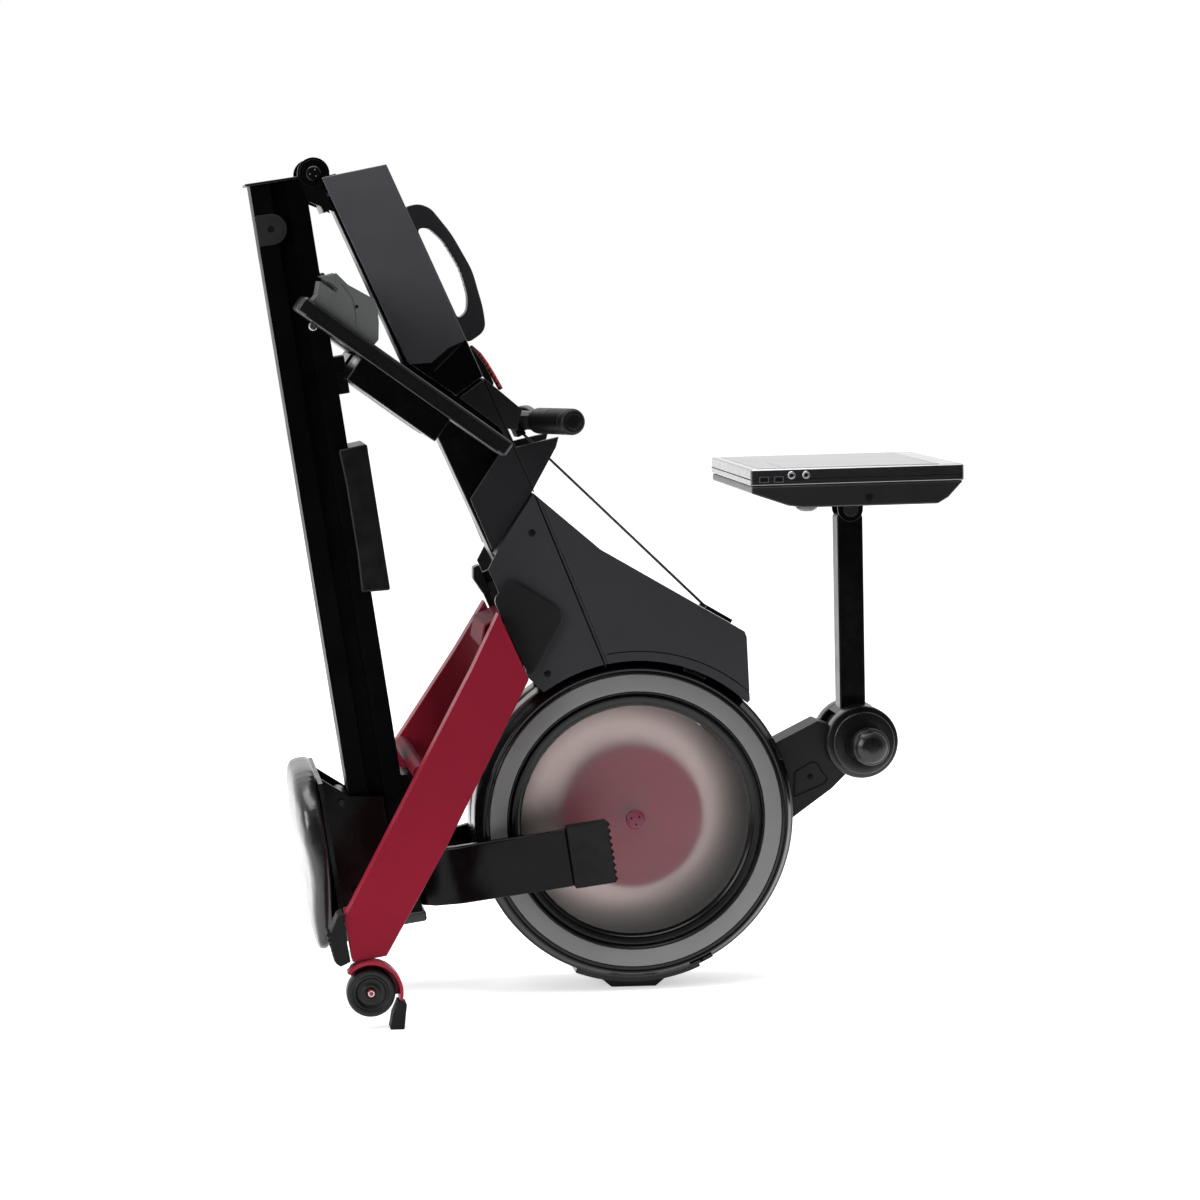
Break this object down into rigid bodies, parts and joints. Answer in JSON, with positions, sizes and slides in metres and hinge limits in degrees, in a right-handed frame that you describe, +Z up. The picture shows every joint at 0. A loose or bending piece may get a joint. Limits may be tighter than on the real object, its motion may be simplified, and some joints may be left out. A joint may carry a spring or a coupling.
{
  "type": "folding rowing machine",
  "caption": "Folding magnetic rower stored upright: seat rail and spine fold flat on a top hinge beside a covered flywheel, with red splayed legs, footplates, pull handle and a tilting console.",
  "frame": {"origin": "on the floor, below the middle of the folded machine's bounding box", "axes": "+Z up; +Y across the machine, along the fold hinge, away from the near side; +X from the rail towards the console"},
  "size_m": [0.9324, 0.546, 1.106],
  "materials": {
    "black_steel": "satin black powder coat",
    "rail_black": "satin black coat on an extruded rail",
    "post_black": "satin black cover over the post",
    "charcoal": "fine-textured charcoal moulding",
    "gloss_black": "semi-gloss black moulding",
    "red_paint": "deep crimson metallic paint",
    "red_disc": "satin maroon paint",
    "flywheel_steel": "machined and lacquered",
    "ring_grey": "mid grey satin ring",
    "window": "frosted translucent",
    "rubber": "moulded, dull",
    "grip_foam": "closed-cell foam grip",
    "steel": "zinc plated",
    "heel_grey": "light grey moulding",
    "webbing": "woven nylon webbing",
    "pull_red": "red moulded pull",
    "screen": "black console face",
    "seat_black": "synthetic leather over foam"
  },
  "bodies": {
    "frame": {"front_beam": "black_steel", "beam_cover": "charcoal", "lift_handle": "gloss_black", "hinge_bracket": "black_steel", "hinge_pin": "steel", "handle_cradle": "charcoal", "shroud_near": "charcoal", "shroud_far": "charcoal", "pivot_cover_near": "gloss_black", "pivot_cover_far": "gloss_black", "strap_guide": "gloss_black", "flywheel_housing_near": "gloss_black", "flywheel_housing_far": "gloss_black", "trim_ring_near": "ring_grey", "trim_ring_far": "ring_grey", "housing_window_near": "window", "housing_window_far": "window", "housing_foot": "rubber", "front_leg_near": "red_paint", "front_leg_far": "red_paint", "leg_crossbar": "red_paint", "leg_spreader": "red_paint", "wheel_fender_near": "red_paint", "wheel_fender_far": "red_paint", "stub_foot_near": "rubber", "stub_foot_far": "rubber", "foot_cap_near": "rubber", "foot_cap_far": "rubber", "pedal_near": "charcoal", "pedal_far": "charcoal", "pedal_bracket_near": "black_steel", "pedal_bracket_far": "black_steel", "console_arm": "charcoal"},
    "rail": {"rail": "rail_black", "rail_cap_front": "charcoal", "rail_cap_rear": "charcoal", "rail_bumper": "rubber", "rear_leg": "black_steel", "rear_foot_near": "rubber", "rear_foot_far": "rubber"},
    "seat": {"seat_pad": "seat_black", "seat_carriage": "black_steel"},
    "roller_front": {"seat_roller_front": "charcoal"},
    "roller_rear": {"seat_roller_rear": "charcoal"},
    "flywheel": {"flywheel": "flywheel_steel", "flywheel_hub": "red_disc"},
    "wheel_near": {"transport_wheel_near": "rubber"},
    "wheel_far": {"transport_wheel_far": "rubber"},
    "handle": {"handle_bar": "black_steel", "hand_grip_near": "grip_foam", "hand_grip_far": "grip_foam", "pull_strap": "webbing"},
    "console_post": {"console_post": "post_black"},
    "console_head": {"console_back": "charcoal", "console_screen": "screen"},
    "console_knob": {"console_knob": "rubber"},
    "heel_cup_near": {"heel_cup_near": "heel_grey"},
    "heel_cup_far": {"heel_cup_far": "heel_grey"},
    "latch_pull": {"latch_pull": "pull_red"},
    "frame_latch": {"frame_latch": "gloss_black"}
  },
  "joints": [
    {"name": "rail_fold", "type": "hinge", "parent": "frame", "child": "rail", "pos_m": [-0.3777, 0, 1.085], "axis": [0, 1, 0], "range_deg": [0, 164.3]},
    {"name": "seat_slide", "type": "slide", "parent": "rail", "child": "seat", "axis": [-0.153, 0, 0.9882], "range_m": [0, 0.7]},
    {"name": "roller_front_spin", "type": "hinge", "parent": "seat", "child": "roller_front", "pos_m": [-0.3469, 0, 0.26], "axis": [0, 1, 0], "range_deg": [-1, 3500]},
    {"name": "roller_rear_spin", "type": "hinge", "parent": "seat", "child": "roller_rear", "pos_m": [-0.3286, 0, 0.1414], "axis": [0, 1, 0], "range_deg": [-1, 3500]},
    {"name": "flywheel_spin", "type": "hinge", "parent": "frame", "child": "flywheel", "pos_m": [0.0452, 0, 0.2293], "axis": [0, 1, 0], "continuous": true},
    {"name": "wheel_near_spin", "type": "hinge", "parent": "frame", "child": "wheel_near", "pos_m": [-0.324, -0.258, 0.047], "axis": [0, 1, 0], "continuous": true},
    {"name": "wheel_far_spin", "type": "hinge", "parent": "frame", "child": "wheel_far", "pos_m": [-0.324, 0.258, 0.047], "axis": [0, 1, 0], "continuous": true},
    {"name": "handle_pull", "type": "slide", "parent": "frame", "child": "handle", "axis": [0.2, 0, 0.9798], "range_m": [0, 0.9], "stiffness_N_per_m": 20, "deforming": ["pull_strap"]},
    {"name": "console_post_fold", "type": "hinge", "parent": "frame", "child": "console_post", "pos_m": [0.3553, 0, 0.327], "axis": [0, 1, 0], "range_deg": [-8, 75]},
    {"name": "console_tilt", "type": "hinge", "parent": "console_post", "child": "console_head", "pos_m": [0.3422, 0, 0.6398], "axis": [0, 1, 0], "range_deg": [-72, 8]},
    {"name": "console_knob_turn", "type": "hinge", "parent": "console_post", "child": "console_knob", "pos_m": [0.3563, -0.08, 0.327], "axis": [0, 1, 0], "range_deg": [0, 360]},
    {"name": "heel_cup_near_slide", "type": "slide", "parent": "frame", "child": "heel_cup_near", "axis": [0.8141, 0, -0.5807], "range_m": [0, 0.07]},
    {"name": "heel_cup_far_slide", "type": "slide", "parent": "frame", "child": "heel_cup_far", "axis": [0.8141, 0, -0.5807], "range_m": [0, 0.07]},
    {"name": "latch_pull_slide", "type": "slide", "parent": "frame", "child": "latch_pull", "axis": [0.91, 0, 0.4147], "range_m": [0, 0.02], "stiffness_N_per_m": 400},
    {"name": "frame_latch_slide", "type": "slide", "parent": "frame", "child": "frame_latch", "axis": [-0.91, 0, -0.4147], "range_m": [0, 0.012], "stiffness_N_per_m": 800}
  ],
  "couplings": [
    {"joint": "roller_front_spin", "follows": "seat_slide", "rad_per_m": 86.957},
    {"joint": "roller_rear_spin", "follows": "seat_slide", "rad_per_m": 86.957}
  ]
}
